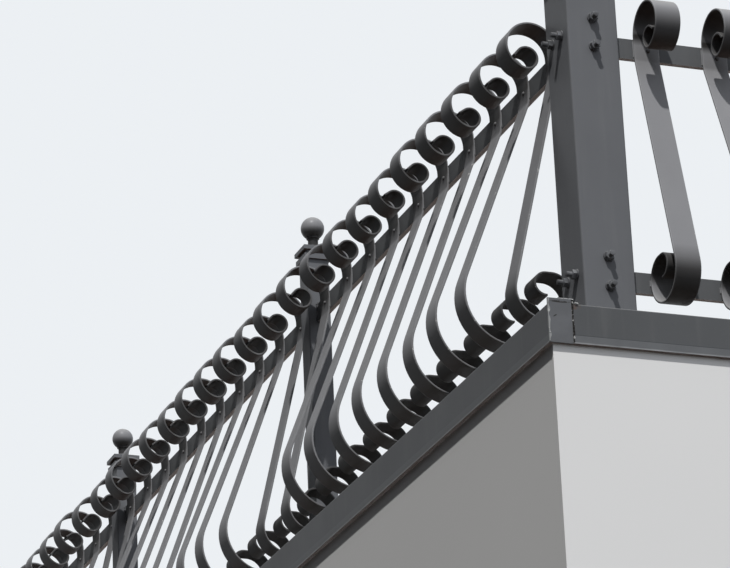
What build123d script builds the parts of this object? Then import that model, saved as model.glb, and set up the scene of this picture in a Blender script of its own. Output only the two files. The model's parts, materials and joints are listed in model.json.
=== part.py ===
from build123d import *

import os
from math import asin, atan2, cos, degrees, hypot, radians, sin

# Roof railing that turns one corner of a flat roof.
# Millimetres. The origin is on the underside of the corner foot plate, below the corner post's axis.
# +X runs along the right wing, +Y along the left wing, +Z is up. The street side is -X and -Y.
# Each wing is modelled along +X with the street on -Y, and the left wing is its mirror image.

# Number of whole bays and of balusters in a bay
left_bays = 3
right_bays = 1
bars_per_bay = 10

# Edge beam along the roof's rim, with the flat strip under it
beam_setout = 178.0
beam_width = 40.0
beam_height = 60.0
beam_wall = 4.0
beam_corner = 3.0
strip_height = 15.0
strip_proud = 4.0
end_plate = 4.0
end_plate_rise = 6.0
beam_overrun = 60.0

# Foot plates
foot_thickness = 12.0
foot_back = 60.0
foot_length = 120.0
corner_foot_back = 90.0
anchor_hole = 14.0
anchor_along = 80.0
anchor_across = 85.0
corner_anchor = 144.0

# Posts
corner_post = 100.0
corner_wall = 5.0
corner_rounding = 4.0
bay_post = 50.0
bay_wall = 3.0
bay_rounding = 3.0
post_rise = 143.0

# Caps and balls
slab_thickness = 9.0
slab_overhang = 7.0
collar_drop = 9.0
collar_height = 11.0
collar_overhang = 5.0
collar_clearance = 0.2
spigot_depth = 14.0
spigot_clearance = 0.5
hip_height = 6.0
neck_height = 25.0
bay_ball_radius = 24.0
bay_neck_radius = 11.0
corner_ball_radius = 40.0
corner_neck_radius = 18.0
neck_flare = 6.0
lip_overhang = 3.0
lip_height = 4.0

# Rails
rail_line = 21.0
rail_height = 40.0
rail_thickness = 10.0
bottom_rail_middle = 191.5
top_rail_middle = 653.0

# Bolted plates that hold the rails to the corner post
lug_thickness = 6.0
left_lug_width = 52.0
left_lug_height = 90.0
left_bolt_spacing = 57.0
right_lug_width = 66.0
right_lug_height = 62.0
right_bolt_spacing = 41.0
bottom_bolt_rise = 6.0
top_bolt_rise = 13.0
bolt_hole = 11.0

# Balusters of flat bar, each ending in a scroll above and below
bar_width = 50.0
bar_thickness = 4.0
bar_pitch = 138.0
bar_to_post = 27.0
left_bar_to_corner = 5.0
right_bar_to_corner = 40.0
head_rise = 21.0
head_radius = 49.0
curl_radius = 21.0
head_angle = 238.5
curl_angle = 309.0
bend_radius = 25.0
belly_radius = 53.0
narrow_front_radius = 53.0
wide_front_radius = 95.0
belly_seat = 0.2
tail_radius = 38.0
narrow_tail_flat = 9.0
wide_tail_flat = 19.0
tip_radius = 22.0
tip_angle = 195.0

# Sizes that follow from the ones above
base_top = strip_height + beam_height
beam_inside = beam_setout - beam_width
rail_face = rail_line + rail_thickness / 2
bay_length = bay_post + bar_width + 2 * bar_to_post + (bars_per_bay - 1) * bar_pitch
first_left_bar = corner_post / 2 + left_bar_to_corner + bar_width / 2
first_right_bar = corner_post / 2 + right_bar_to_corner + bar_width / 2
post_top = top_rail_middle + post_rise
collar_top = post_top - collar_drop
rail_levels = (bottom_rail_middle, top_rail_middle)
bolt_levels = (bottom_rail_middle + bottom_bolt_rise, top_rail_middle + top_bolt_rise)


def mirrored(shape):
    """The same piece on the left wing."""
    return shape.mirror(Plane(origin=(0, 0, 0), z_dir=(1, -1, 0)))


def box(x0, x1, y0, y1, z0, z1):
    """A square-edged block between two corners."""
    centre = ((x0 + x1) / 2, (y0 + y1) / 2, (z0 + z1) / 2)
    return Pos(*centre) * Box(x1 - x0, y1 - y0, z1 - z0)


def post_places(first_bar, bays):
    """Distances of a wing's posts from the corner post's axis."""
    first = first_bar + (bars_per_bay - 1) * bar_pitch + bar_width / 2 + bar_to_post + bay_post / 2
    return [first + i * bay_length for i in range(bays)]


def bar_places(first_bar, bay):
    """Distances of one bay's balusters from the corner post's axis."""
    start = first_bar
    if bay > 0:
        before = post_places(first_bar, bay)[-1]
        start = before + bay_post / 2 + bar_to_post + bar_width / 2
    return [start + i * bar_pitch for i in range(bars_per_bay)]


def square_tube(size, wall, rounding, bottom, top):
    """A square hollow section standing on its end."""
    outer = RectangleRounded(size, size, rounding)
    inner = Rectangle(size - 2 * wall, size - 2 * wall)
    return Pos(0, 0, bottom) * extrude(outer - inner, top - bottom)


def beam(start, end):
    """The hollow edge beam of one wing, lying on its strip."""
    outer = RectangleRounded(beam_width, beam_height, beam_corner)
    inner = Rectangle(beam_width - 2 * beam_wall, beam_height - 2 * beam_wall)
    middle = (start, -beam_setout + beam_width / 2, strip_height + beam_height / 2)
    section = Plane(origin=middle, x_dir=(0, 1, 0), z_dir=(1, 0, 0))
    return extrude(section * (outer - inner), end - start)


def strip(start, end):
    """The flat strip under one wing's edge beam, which stands a little proud of it."""
    return box(start, end, -beam_setout - strip_proud, -beam_inside, 0, strip_height)


def anchor_holes(along, across):
    """Four drills through a foot plate, round the post's axis."""
    drill = Cylinder(anchor_hole / 2, 3 * foot_thickness)
    return [Pos(x, y, 0) * drill for x in (-along / 2, along / 2) for y in (-across / 2, across / 2)]


def bay_foot(place):
    """The foot plate of a bay post, which reaches out to the strip."""
    plate = box(-foot_length / 2, foot_length / 2, rail_line - beam_inside, foot_back, 0, foot_thickness)
    plate -= anchor_holes(anchor_along, anchor_across)
    return Pos(place, -rail_line, 0) * plate


def corner_foot():
    """The corner post's foot plate, between the two strips."""
    plate = box(-beam_inside, corner_foot_back, -beam_inside, corner_foot_back, 0, foot_thickness)
    return plate - anchor_holes(corner_anchor, corner_anchor)


def right_bolt_drills(height):
    """Two drills along X through the corner post, side by side at a height."""
    drill = Cylinder(bolt_hole / 2, 2 * corner_post, rotation=(0, 90, 0))
    half = right_bolt_spacing / 2
    return [Pos(0, side, height) * drill for side in (-half, half)]


def left_bolt_drills(height):
    """Two drills along Y through the corner post, one above and one below a height."""
    drill = Cylinder(bolt_hole / 2, 2 * corner_post, rotation=(90, 0, 0))
    half = left_bolt_spacing / 2
    return [Pos(0, 0, height + side) * drill for side in (-half, half)]


def corner_post_tube():
    """The corner post, drilled for the bolts of all four rails."""
    tube = square_tube(corner_post, corner_wall, corner_rounding, foot_thickness, post_top)
    for height in bolt_levels:
        tube -= right_bolt_drills(height)
        tube -= left_bolt_drills(height)
    return tube


def right_lugs():
    """Plates on the ends of the right wing's rails, bolted to the post's side."""
    face = corner_post / 2
    half = right_lug_width / 2
    plates = []
    for rail_level, bolt_level in zip(rail_levels, bolt_levels):
        low = rail_level - rail_height / 2
        plate = box(face, face + lug_thickness, -half, half, low, low + right_lug_height)
        plates.append(plate - right_bolt_drills(bolt_level))
    return Compound(plates)


def left_lugs():
    """Plates on the ends of the left wing's rails, bolted to the post's back."""
    face = corner_post / 2
    edge = -rail_face
    plates = []
    for height in bolt_levels:
        low = height - left_lug_height / 2
        plate = box(edge, edge + left_lug_width, face, face + lug_thickness, low, low + left_lug_height)
        plates.append(plate - left_bolt_drills(height))
    return Compound(plates)


def rail(start, end, middle):
    """One flat rail between two posts."""
    low = middle - rail_height / 2
    return box(start, end, -rail_face, -rail_face + rail_thickness, low, low + rail_height)


def collar(size):
    """The square band round a post, just below its cap."""
    outside = Rectangle(size + 2 * collar_overhang, size + 2 * collar_overhang)
    inside = Rectangle(size + 2 * collar_clearance, size + 2 * collar_clearance)
    return Pos(0, 0, collar_top - collar_height) * extrude(outside - inside, collar_height)


def neck(radius):
    """The round neck between a cap and its ball, flared at the foot and with a lip under the ball."""
    flare = RadiusArc((radius + neck_flare, 0), (radius, neck_flare), neck_flare)
    lip = radius + lip_overhang
    below = neck_height - lip_height
    shaft = [(radius, neck_flare), (radius, below), (lip, below), (lip, neck_height)]
    rest = Polyline(*shaft, (0, neck_height), (0, 0), flare @ 0)
    return revolve(Plane.XZ * make_face([flare, *rest.edges()]), Axis.Z)


def cap(size, wall, neck_radius):
    """A post's cap: a slab with a hipped top, a neck, and a spigot inside the tube."""
    side = size + 2 * slab_overhang
    foot = 2 * (neck_radius + neck_flare)
    slab = extrude(Rectangle(side, side), slab_thickness)
    hip = loft([Rectangle(side, side), Pos(0, 0, hip_height) * Rectangle(foot, foot)])
    inside = size - 2 * wall - 2 * spigot_clearance
    spigot = extrude(Rectangle(inside, inside), -spigot_depth)
    top = hip + Pos(0, 0, hip_height) * neck(neck_radius)
    return Pos(0, 0, post_top) * (slab + spigot + Pos(0, 0, slab_thickness) * top)


def ball(ball_radius, neck_radius):
    """A round finial with a flat seat on its neck."""
    seat = post_top + slab_thickness + hip_height + neck_height
    drop = cos(asin(neck_radius / ball_radius)) * ball_radius
    cut = box(-ball_radius, ball_radius, -ball_radius, ball_radius, -2 * ball_radius, -drop)
    return Pos(0, 0, seat + drop) * (Sphere(ball_radius) - cut)


def side_of_path(path, start, heading, offset):
    """One side of a bent flat bar.

    The path is a list of (radius, turn) pairs, turn positive to the left, and a pair with radius 0
    is a straight run of that length. The side lies to the left of the bar's middle by the offset.
    """
    normal = Vector(-sin(radians(heading)), cos(radians(heading)))
    here = Vector(*start) + normal * offset
    edges = []
    for radius, turn in path:
        way = Vector(cos(radians(heading)), sin(radians(heading)))
        if radius == 0:
            piece = Line(here, here + way * turn)
        else:
            true_radius = radius - offset if turn > 0 else radius + offset
            piece = JernArc(here, way, true_radius, turn)
            heading += turn
        edges.append(piece)
        here = piece @ 1
    return edges, here


def bent_bar(path, start, heading):
    """Outline of a flat bar that follows a path, seen on its edge."""
    left, left_end = side_of_path(path, start, heading, bar_thickness / 2)
    right, right_end = side_of_path(path, start, heading, -bar_thickness / 2)
    caps = [Line(left[0] @ 0, right[0] @ 0), Line(left_end, right_end)]
    return make_face([*left, *right, *caps])


def baluster_outline(front_radius, tail_flat):
    """The side view of a baluster: X is the reach to the street from the rails, Y is the height.

    Upwards from the top rail the bar turns over in a head and closes in a small curl.
    Downwards it leans out to the belly, turns under to the bottom rail, and comes over in a tail.
    The belly's front and its underside are two arcs that meet at its lowest point.
    """
    middle = bar_thickness / 2
    rail_bottom = top_rail_middle - rail_height / 2
    rise = head_rise + rail_height / 2
    up = [(0, rise), (head_radius, -head_angle), (curl_radius, -curl_angle)]
    head = bent_bar(up, (middle, rail_bottom), 90)

    reach = belly_radius + belly_seat - bend_radius
    drop = rail_bottom - (bottom_rail_middle + front_radius - belly_radius)
    down = [
        (bend_radius, lean_angle(reach, drop, front_radius)),
        (0, straight_run(reach, drop, front_radius)),
        (front_radius, -(90 + lean_angle(reach, drop, front_radius))),
        (belly_radius, -90),
        (tail_radius, -90),
        (0, tail_flat),
        (tip_radius, -tip_angle),
    ]
    foot = bent_bar(down, (middle, rail_bottom), -90)
    return head + foot


def lean_angle(reach, drop, front_radius):
    """Angle from upright of the line that joins the bend to the belly's front."""
    apart = hypot(reach, drop)
    return degrees(atan2(reach, drop) + asin((bend_radius + front_radius) / apart))


def straight_run(reach, drop, front_radius):
    """Length of the straight line that joins the bend to the belly's front."""
    return (reach ** 2 + drop ** 2 - (bend_radius + front_radius) ** 2) ** 0.5


def balusters(places):
    """The balusters of one bay: narrow ones next to its posts and wide ones between them."""
    narrow = baluster_outline(narrow_front_radius, narrow_tail_flat)
    wide = baluster_outline(wide_front_radius, wide_tail_flat)
    bars = []
    for place in places:
        outline = narrow if place in (places[0], places[-1]) else wide
        side = Plane(origin=(place + bar_width / 2, -rail_face, 0), x_dir=(0, -1, 0), z_dir=(-1, 0, 0))
        bars.append(extrude(side * outline, bar_width))
    return Compound(bars)


def wing(name, first_bar, bays):
    """Every piece of one wing outside the corner, by node name, along +X."""
    nodes = {}
    before = corner_post / 2 + lug_thickness
    for bay, place in enumerate(post_places(first_bar, bays)):
        number = bay + 1
        to_post = Pos(place, -rail_line, 0)
        tube = square_tube(bay_post, bay_wall, bay_rounding, foot_thickness, post_top)
        after = place - bay_post / 2
        nodes[f"{name}_post_{number}"] = to_post * tube
        nodes[f"{name}_foot_plate_{number}"] = bay_foot(place)
        nodes[f"{name}_collar_{number}"] = to_post * collar(bay_post)
        nodes[f"{name}_cap_{number}"] = to_post * cap(bay_post, bay_wall, bay_neck_radius)
        nodes[f"{name}_ball_{number}"] = to_post * ball(bay_ball_radius, bay_neck_radius)
        nodes[f"{name}_top_rail_{number}"] = rail(before, after, top_rail_middle)
        nodes[f"{name}_bottom_rail_{number}"] = rail(before, after, bottom_rail_middle)
        nodes[f"{name}_balusters_{number}"] = balusters(bar_places(first_bar, bay))
        before = place + bay_post / 2
    return nodes


def base_frame():
    """Edge beams, strips and the plates that close the beams' ends."""
    left_end = post_places(first_left_bar, left_bays)[-1] + beam_overrun
    right_end = post_places(first_right_bar, right_bays)[-1] + beam_overrun
    outside = -beam_setout - strip_proud
    far_plates = [
        mirrored(box(left_end, left_end + end_plate, outside, -beam_inside, 0, base_top)),
        box(right_end, right_end + end_plate, outside, -beam_inside, 0, base_top),
    ]
    corner_plate = box(outside, -beam_inside, -beam_setout - end_plate, -beam_setout, 0, base_top + end_plate_rise)
    return {
        "left_edge_beam": mirrored(beam(-beam_setout, left_end)),
        "right_edge_beam": beam(-beam_inside, right_end),
        "left_strip": mirrored(strip(-beam_setout, left_end)),
        "right_strip": strip(-beam_inside, right_end),
        "corner_end_plate": corner_plate,
        "far_end_plates": Compound(far_plates),
    }


def corner():
    """The corner post with its foot, band, cap, ball and rail plates."""
    return {
        "corner_post": corner_post_tube(),
        "corner_foot_plate": corner_foot(),
        "corner_collar": collar(corner_post),
        "corner_cap": cap(corner_post, corner_wall, corner_neck_radius),
        "corner_ball": ball(corner_ball_radius, corner_neck_radius),
        "left_rail_lugs": left_lugs(),
        "right_rail_lugs": right_lugs(),
    }


def railing():
    """All nodes of the railing."""
    nodes = base_frame()
    nodes.update(corner())
    nodes.update(wing("right", first_right_bar, right_bays))
    for node, shape in wing("left", first_left_bar, left_bays).items():
        nodes[node] = mirrored(shape)
    return nodes


os.makedirs("parts", exist_ok=True)
for node, shape in railing().items():
    export_step(shape, f"parts/{node}.step")
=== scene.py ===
"""Looks of a steel roof railing that turns one corner: scrolled bars, fixings, welds, paint and a studio."""

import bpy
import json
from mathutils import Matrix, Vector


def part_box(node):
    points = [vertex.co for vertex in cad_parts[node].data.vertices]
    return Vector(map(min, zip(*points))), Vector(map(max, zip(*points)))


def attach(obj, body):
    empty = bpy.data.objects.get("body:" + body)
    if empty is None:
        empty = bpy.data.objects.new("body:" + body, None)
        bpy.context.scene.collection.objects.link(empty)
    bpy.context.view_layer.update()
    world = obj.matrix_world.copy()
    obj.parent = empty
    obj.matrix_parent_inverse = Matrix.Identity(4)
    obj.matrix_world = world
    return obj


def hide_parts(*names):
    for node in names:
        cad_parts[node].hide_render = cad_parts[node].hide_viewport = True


bl_info = {
    "name": "Roof railing looks",
    "version": (1, 0, 0),
    "blender": (4, 5, 0),
    "location": "View3D > Sidebar > Railing",
    "description": "Dresses the packed railing with scrolled bars, fixings, welds and worn paint",
    "category": "Object",
}
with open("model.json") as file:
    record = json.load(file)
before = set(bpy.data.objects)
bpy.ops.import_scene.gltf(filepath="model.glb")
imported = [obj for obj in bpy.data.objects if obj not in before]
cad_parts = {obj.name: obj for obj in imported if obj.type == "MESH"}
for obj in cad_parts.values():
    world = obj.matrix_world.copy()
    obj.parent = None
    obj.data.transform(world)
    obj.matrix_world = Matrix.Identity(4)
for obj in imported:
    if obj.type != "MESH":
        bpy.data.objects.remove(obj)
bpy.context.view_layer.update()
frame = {"nodes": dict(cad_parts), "record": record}

import json
from math import asin, atan2, cos, hypot, pi, radians, sin

import bpy
import numpy as np
from bpy.props import FloatProperty, FloatVectorProperty, IntProperty
from mathutils import Matrix, Vector

BODY = "root"
MM = 0.001
SLOT_STEEL = "dark_paint"
SLOT_FOOT = "foot_steel"
BAYS = (("left", 1), ("left", 2), ("left", 3), ("right", 1))
BARS_PER_BAY = 10
SMOOTH_BELOW = radians(35)  # faces that meet at a smaller angle are shaded smooth
TURN_STEP = radians(6)  # between two points of a bent bar's arc
STRAIGHT_STEP = 14 * MM  # between two points of its straights
PEEL_DEPTH = 0.35 * MM  # of the paint's orange peel
LUMP_DEPTH = 0.4 * MM  # of the lumps on welds and filler


def low(node):
    """Lowest corner of a CAD node, in metres."""
    return np.array(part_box(node)[0])


def high(node):
    """Highest corner of a CAD node, in metres."""
    return np.array(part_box(node)[1])


# Surfaces


def tube(rings):
    """A closed skin over a stack of rings, an array of rows by columns by 3: four-sided faces between
    neighbouring rings, and at each end a fan about the mean of the last ring.

    The first ring runs clockwise, and the last one anticlockwise, seen from outside the end that it closes.
    """
    rows, columns, _ = rings.shape
    vertices = np.concatenate([rings.reshape(-1, 3), rings[[0, -1]].mean(axis=1)])
    j = np.arange(columns)
    k = (j + 1) % columns
    row = np.arange(rows - 1)[:, None] * columns
    sides = np.stack([row + j, row + k, row + columns + k, row + columns + j], axis=-1).reshape(-1, 4)
    first = np.stack([k, j, np.full(columns, rows * columns)], axis=-1)
    end = (rows - 1) * columns
    last = np.stack([end + j, end + k, np.full(columns, rows * columns + 1)], axis=-1)
    return vertices, [sides, first, last]


class Skin:
    """Collects closed surfaces and makes one mesh object of them."""

    def __init__(self):
        self.vertices, self.faces, self.marks, self.count = [], [], {"wear": [], "grime": []}, 0

    def add(self, vertices, faces, mirrored=False, **marks):
        """Adds a surface with its wear and its painted shade and grime. Mirrored, it swaps X with Y and turns
        its faces over.
        """
        vertices = np.asarray(vertices, float)
        if mirrored:
            vertices = vertices[:, [1, 0, 2]]
        self.vertices.append(vertices)
        for block in faces:
            self.faces.append((block[:, ::-1] if mirrored else block) + self.count)
        for name, values in self.marks.items():
            values.append(marks.get(name, np.zeros(len(vertices))))
        self.count += len(vertices)

    def build(self, name, material, slot):
        """Makes the object, smooth where its faces meet at a small angle, riding on the railing."""
        mesh = bpy.data.meshes.new(name)
        faces = [face for block in self.faces for face in block.tolist()]
        mesh.from_pydata(np.concatenate(self.vertices), [], faces)
        for mark, values in self.marks.items():
            layer = mesh.attributes.new(mark, "FLOAT", "POINT")
            layer.data.foreach_set("value", np.concatenate(values).astype(np.float32))
        mesh.polygons.foreach_set("use_smooth", np.full(len(mesh.polygons), True))
        mesh.set_sharp_from_angle(angle=SMOOTH_BELOW)
        mesh.materials.append(material)
        mesh.update()
        piece = bpy.data.objects.new(name, mesh)
        bpy.context.scene.collection.objects.link(piece)
        piece.modifiers.new("even_normals", "WEIGHTED_NORMAL").keep_sharp = True
        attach(piece, BODY)
        return piece


def rings_about(radius, height, angle, place, axis):
    """Rings of points (radius * cos, radius * sin, height) of the angle, stood on an axis at a place.

    The radius has one row per ring, with one value or one for each angle.
    """
    level = np.broadcast_to(height[:, None], (len(height), len(angle)))
    rings = np.stack([radius * np.cos(angle), radius * np.sin(angle), level], axis=-1)
    turn = np.array(Vector(axis).to_track_quat("Z", "Y").to_matrix())
    return rings @ turn.T + np.asarray(place, float)


def turned(profile, sides, place, axis):
    """A solid of revolution: each (radius, height) of the profile becomes a ring about the axis."""
    radius, height = np.asarray(profile, float).T
    angle = np.linspace(0, 2 * pi, sides, endpoint=False)
    return rings_about(radius[:, None], height, angle, place, axis)


def hexagon(profile, across, place, axis, spin):
    """A hexagon: at each height the radius is the lesser of half the distance across its flats, over the cosine
    of the angle from the nearest flat's middle, and the chamfer's own radius from the profile."""
    radius, height = np.asarray(profile, float).T
    angle = np.arange(36) * radians(10)
    from_flat = (angle + radians(30)) % radians(60) - radians(30)
    reach = np.minimum(across / 2 / np.cos(from_flat), radius[:, None])
    return rings_about(reach, height, angle + spin, place, axis)


# Materials


def shade(colour, share):
    """A colour darkened, or lightened by a share above 1."""
    return tuple(c * share for c in colour)


def math_node(operation, swap=False):
    """A method that joins a value to another one by a Math node, the other one first where swap is true."""
    return lambda self, other: self.math(operation, other, swap=swap)


class Value:
    """A shader value that takes part in Python arithmetic: each operator adds its Math node."""

    def __init__(self, maker, socket):
        self.maker, self.socket = maker, socket

    def math(self, operation, other, swap=False, clamp=False):
        """The value of one Math node."""
        node = self.maker.node("Math", {"operation": operation, "use_clamp": clamp})
        inputs = (other, self) if swap else (self, other)
        for slot, item in zip(node.inputs, inputs):
            self.maker.feed(slot, item)
        return Value(self.maker, node.outputs[0])

    __add__ = __radd__ = math_node("ADD")
    __mul__ = __rmul__ = math_node("MULTIPLY")
    __sub__ = math_node("SUBTRACT")
    __rsub__ = math_node("SUBTRACT", swap=True)
    __truediv__ = math_node("DIVIDE")

    def clamp(self):
        """The value held between 0 and 1."""
        return self.math("ADD", 0.0, clamp=True)

    def step(self, start, end):
        """0 below start, 1 above end, and a smooth rise between them."""
        settings = {"interpolation_type": "SMOOTHSTEP"}
        node = self.maker.node("MapRange", settings, Value=self, From_Min=start, From_Max=end)
        return Value(self.maker, node.outputs["Result"])


class Nodes:
    """Makes and joins the nodes of one tree."""

    def __init__(self, tree):
        self.tree = tree
        tree.nodes.clear()

    def node(self, kind, settings=None, **sockets):
        """A node of a kind, its settings first and then the values or links of its sockets."""
        node = self.tree.nodes.new("ShaderNode" + kind)
        for key, value in (settings or {}).items():
            setattr(node, key, value)
        for key, value in sockets.items():
            self.feed(node.inputs[key.replace("_", " ")], value)
        return node

    def feed(self, slot, value):
        """Links a value, a node's socket or a plain number to a socket."""
        if isinstance(value, Value):
            self.tree.links.new(value.socket, slot)
        elif isinstance(value, bpy.types.NodeSocket):
            self.tree.links.new(value, slot)
        else:
            slot.default_value = value

    def value(self, socket):
        """A node's output, as a value."""
        return Value(self, socket)

    def parts(self, vector):
        """The X, Y and Z of a vector, as values."""
        split = self.node("SeparateXYZ", Vector=vector)
        return [self.value(socket) for socket in split.outputs]

    def mix(self, factor, first, second):
        """A colour between two, each three numbers or a link."""
        node = self.node("Mix", {"data_type": "RGBA"})
        self.feed(node.inputs[0], factor)
        for slot, item in ((node.inputs[6], first), (node.inputs[7], second)):
            self.feed(slot, item if isinstance(item, bpy.types.NodeSocket) else (*item, 1.0))
        return node.outputs[2]

    def blend(self, factor, first, second):
        """A shader between two."""
        node = self.node("MixShader")
        for slot, item in zip(node.inputs, (factor, first, second)):
            self.feed(slot, item)
        return node.outputs[0]


class Finish(Nodes):
    """One material: makes its nodes and joins them."""

    def __init__(self, name):
        self.material = bpy.data.materials.new(name)
        self.material.use_nodes = True
        super().__init__(self.material.node_tree)
        self.shader = self.node("BsdfPrincipled")
        self.output = self.node("OutputMaterial", Surface=self.shader.outputs[0])
        self.place = self.node("TexCoord").outputs["Object"]

    def noise(self, scale, detail=2.0, stretch=(1, 1, 1), rough=0.5):
        """Noise of about 0 to 1, with its pattern stretched along the axes."""
        place = self.node("Mapping", Vector=self.place, Scale=stretch).outputs[0]
        node = self.node("TexNoise", Vector=place, Scale=scale, Detail=detail, Roughness=rough)
        return self.value(node.outputs["Fac"])

    def attribute(self, name):
        """A mesh's own values, laid down with its vertices."""
        return self.value(self.node("Attribute", {"attribute_name": name}).outputs["Fac"])

    def bump(self, height, strength, depth, **over):
        """Fine relief, over another one where its Normal is given."""
        return self.node("Bump", Height=height, Strength=strength, Distance=depth, **over).outputs[0]

    def spot(self, across, level, half_wide, half_high, slope=0.0):
        """1 in the middle of an oval spot and 0 at its rim, on a face that looks along Y."""
        x, _, z = self.parts(self.place)
        dx, dz = x - float(across), z - float(level)
        first = (dx * cos(slope) + dz * sin(slope)) / half_wide
        second = (dz * cos(slope) - dx * sin(slope)) / half_high
        return (1.0 - first * first - second * second).step(0.0, 0.7)

    def upward(self):
        """How far the surface looks up: 1 on top faces, 0 on upright ones and -1 on undersides."""
        return self.parts(self.node("NewGeometry").outputs["Normal"])[2]

    def bevel_edge(self, radius):
        """0 on flats and up to about 1 at edges: how far a rounded edge's direction leaves the face's own."""
        round_normal = self.node("Bevel", {"samples": 4}, Radius=radius).outputs[0]
        flat_normal = self.node("NewGeometry").outputs["Normal"]
        dot = self.node("VectorMath", {"operation": "DOT_PRODUCT"})
        self.feed(dot.inputs[0], round_normal)
        self.feed(dot.inputs[1], flat_normal)
        return (1.0 - self.value(dot.outputs["Value"])).step(0.005, 0.22)

    def finish(self, colour, rough, bump=None, shine=0.06):
        """Joins the colour, roughness and normal to the shader. Shine is the strength of reflections."""
        self.shader.inputs["Specular IOR Level"].default_value = shine
        self.feed(self.shader.inputs["Base Color"], colour)
        self.feed(self.shader.inputs["Roughness"], rough)
        if bump is not None:
            self.feed(self.shader.inputs["Normal"], bump)
        return self.material


def steel_paint(name, look, colour, rough, cad, stain=None, smear=None, neck=None, shine=0.06):
    """Worn satin paint on steel: uneven colour, streaks, dust on top, pale edges, chips and orange peel.

    The colour of its undersides can be given in place of the rust colour: the rails' pale one is a painted
    light thrown up from below. smear gives the sizes of a dark brown spot as Finish.spot takes them, and neck
    the height above which it is painted nearly black, a painted shadow under a ball. The edges of a CAD node
    are found by their bevel, and those of a new piece by its own values, which also carry its painted shade and
    grime.
    """
    made = Finish(name)
    tones = made.noise(3.5, 3.0).step(0.25, 0.75)
    patches = made.noise(26.0, 4.0).step(0.3, 0.75)
    streaks = made.noise(9.0, 3.0, stretch=(5, 5, 0.35)).step(0.5, 0.8)
    specks = made.noise(900.0, 1.0).step(0.62, 0.72)

    base = made.mix(tones * 0.7 + patches * 0.15, shade(colour, 0.94), shade(colour, 1.07))
    base = made.mix(streaks * 0.07, base, look.dust_colour)

    up = made.upward()
    dust = (up.step(0.3, 1.0) * (0.8 + 0.2 * patches)).clamp() * look.dust
    base = made.mix(dust, base, look.dust_colour)
    # Faces that look down are mixed towards brown, or towards the colour given for undersides; on the rails
    # that pale colour is painted light from below.
    under = (0.0 - up).step(0.5, 0.95) * look.brown
    base = made.mix(under, base, look.rust_colour if stain is None else stain)
    base = made.mix(specks * 0.05, base, look.dust_colour)

    if smear:
        dirt = made.spot(*smear) * made.noise(110.0, 3.0).step(0.25, 0.6)
        base = made.mix(dirt * 0.75, base, look.rust_colour)
    # Painted shadow: above the neck's height a cap is painted nearly black, where a ball shades it.
    if neck:
        _, _, z = made.parts(made.place)
        base = made.mix(z.step(neck, neck + 3 * MM) * 0.85, base, look.grime_colour)
    if cad:
        edge = made.bevel_edge(look.edge_width)
    else:
        # Painted shade, with some dirt: a new piece's own values darken its shaded bellies, the insides of its
        # heads and the lower half of a ball.
        grime = made.attribute("grime")
        edge = made.attribute("wear") * (1.0 - 0.6 * grime)
        base = made.mix((grime * (0.85 + 0.15 * tones)).clamp() * look.grime, base, look.grime_colour)
    # Pale rubbed edges: worn paint, and also a painted highlight along the rims.
    rub = (edge * (0.45 + 0.75 * patches)).clamp() * look.edge
    base = made.mix(rub, base, look.edge_colour)
    chipped = (edge * made.noise(95.0, 4.0, rough=0.65).step(0.66, 0.7)).clamp()
    base = made.mix(chipped * 0.8, base, look.chip_colour)

    gloss = rough + 0.05 * patches - 0.04 * tones + 0.22 * dust + 0.05 * streaks
    peel = made.bump(made.noise(240.0, 3.0), look.peel, PEEL_DEPTH)
    waves = made.bump(made.noise(38.0, 2.0), 0.1, 0.8 * MM, Normal=peel)
    return made.finish(base, gloss.clamp(), waves, shine)


def plate_paint(name, look):
    """The corner plate's paint: blurred by dirt, with a short dark scratch and a broken line near its top."""
    made = Finish(name)
    plate_low, plate_high = low("corner_end_plate"), high("corner_end_plate")
    left, top = plate_low[0], plate_high[2]
    width = plate_high[0] - left
    blur = made.noise(30.0, 3.0).step(0.3, 0.75)
    base = made.mix(blur, shade(look.steel_colour, 0.86), shade(look.steel_colour, 0.99))
    scratch = made.spot(left + width * 0.28, top * 0.6, 5 * MM, 1.5 * MM, radians(32))
    line = made.spot(left + width * 0.52, top - 6.0 * MM, width * 0.5, 2.3 * MM)
    gaps = made.noise(120.0, 2.0).step(0.3, 0.42)
    base = made.mix((scratch * 0.75 + line * gaps * 0.9).clamp(), base, look.grime_colour)
    edge = made.bevel_edge(look.edge_width)
    base = made.mix((edge * (0.5 + 0.6 * blur)).clamp() * look.edge, base, look.edge_colour)
    peel = made.bump(made.noise(260.0), look.peel, PEEL_DEPTH)
    return made.finish(base, (0.44 + 0.08 * blur).clamp(), peel)


def strip_paint(name, look):
    """The base strip's paint: a little paler than the beam's, and rubbed along its lower edge in patches."""
    made = Finish(name)
    _, _, z = made.parts(made.place)
    patches = made.noise(22.0, 4.0).step(0.3, 0.7)
    base = made.mix(patches, shade(look.strip_colour, 0.94), shade(look.strip_colour, 1.06))
    lower = 1.0 - z.step(1.0 * MM, 3.5 * MM)
    rub = lower * (0.35 + 0.5 * patches) * made.upward().step(-0.6, -0.3)
    base = made.mix(rub.clamp(), base, look.edge_colour)
    under = (0.0 - made.upward()).step(0.5, 0.95) * look.brown
    base = made.mix(under, base, look.rust_colour)
    peel = made.bump(made.noise(240.0, 3.0), look.peel, PEEL_DEPTH)
    return made.finish(base, (0.48 + 0.08 * patches).clamp(), peel)


def broken_paint(name, look, light, dark):
    """A joint's filler that shows in breaks: two noises cut it into light flecks and dark gaps."""
    made = Finish(name)
    runs = made.noise(75.0, 3.0, stretch=(0.4, 0.4, 1.0)).step(0.57, 0.63)
    flecks = made.noise(150.0).step(0.56, 0.62)
    base = made.mix(runs, dark, look.steel_colour)
    base = made.mix(flecks * 0.85, base, light)
    lumps = made.bump(made.noise(350.0, 3.0), 0.5, LUMP_DEPTH)
    return made.finish(base, (0.55 + 0.2 * flecks).clamp(), lumps)


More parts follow.
